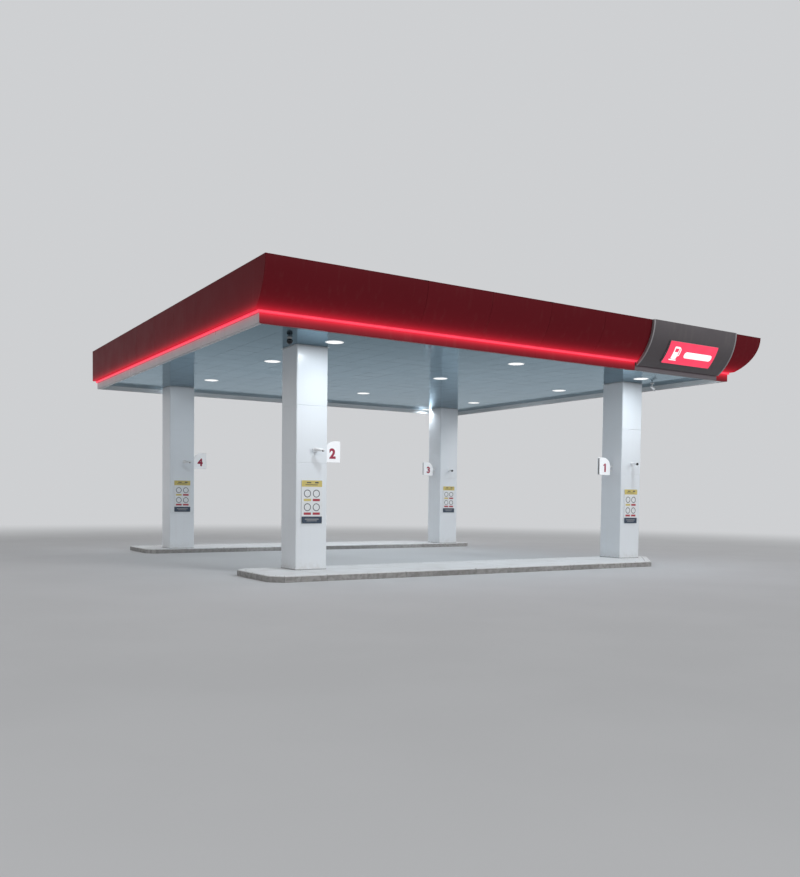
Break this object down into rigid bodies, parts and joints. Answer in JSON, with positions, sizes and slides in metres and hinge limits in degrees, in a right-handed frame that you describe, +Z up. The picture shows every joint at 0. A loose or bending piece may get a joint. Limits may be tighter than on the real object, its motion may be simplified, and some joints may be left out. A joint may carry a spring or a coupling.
{
  "type": "filling station canopy",
  "caption": "Flat forecourt roof with a curved red fascia, lit red edge line, glossy soffit with downlights, clad columns, number signs and kerbed islands.",
  "frame": {"origin": "on the ground, at the middle of the whole canopy's box", "axes": "+X along the front to the right, +Y from the front to the rear, +Z up"},
  "size_m": [13.65, 13.296, 5.885],
  "materials": {
    "island_paint": "painted concrete, matt",
    "galvanised_steel": "galvanised, dull",
    "deck_sheet": "coated ribbed sheet",
    "white_cladding": "satin white composite panel",
    "soffit_panel": "glossy pale grey panel",
    "red_fascia": "satin deep red composite panel",
    "band_paint": "satin silver grey",
    "red_light": "lit red diffuser",
    "white_trim": "white moulded rim",
    "lamp_lens": "lit white diffuser",
    "sign_silver": "satin silver grey",
    "sign_red": "lit red acrylic",
    "number_sign": "white acrylic",
    "notice_board": "printed sheet, bare",
    "camera_white": "white moulded housing",
    "camera_dark": "dark moulded housing"
  },
  "bodies": {
    "root": {"island_front": "island_paint", "island_rear": "island_paint", "steel_posts": "galvanised_steel", "main_beams": "galvanised_steel", "cross_beams": "galvanised_steel", "rim_beams": "galvanised_steel", "fascia_ribs": "galvanised_steel", "soffit_rails": "galvanised_steel", "roof_deck": "deck_sheet", "parapet_front": "deck_sheet", "parapet_right": "deck_sheet", "parapet_left": "deck_sheet", "parapet_rear": "deck_sheet", "column_cladding_1": "white_cladding", "column_cladding_2": "white_cladding", "column_cladding_3": "white_cladding", "column_cladding_4": "white_cladding", "soffit": "soffit_panel", "fascia_front": "red_fascia", "fascia_right": "red_fascia", "fascia_left": "red_fascia", "fascia_rear": "red_fascia", "coping": "red_fascia", "band_front": "band_paint", "band_right": "band_paint", "band_left": "band_paint", "band_rear": "band_paint", "light_strip_front": "red_light", "light_strip_right": "red_light", "light_strip_left": "red_light", "light_strip_rear": "red_light", "downlight_rims": "white_trim", "downlight_lenses": "lamp_lens", "sign_panel": "sign_silver", "sign_lit_box": "sign_red", "number_sign_1": "number_sign", "number_sign_2": "number_sign", "number_sign_3": "number_sign", "number_sign_4": "number_sign", "notice_boards": "notice_board", "column_cameras": "camera_white", "soffit_camera_bullet": "camera_white", "soffit_camera_dome": "camera_dark", "camera_lenses": "camera_dark"}
  },
  "joints": []
}
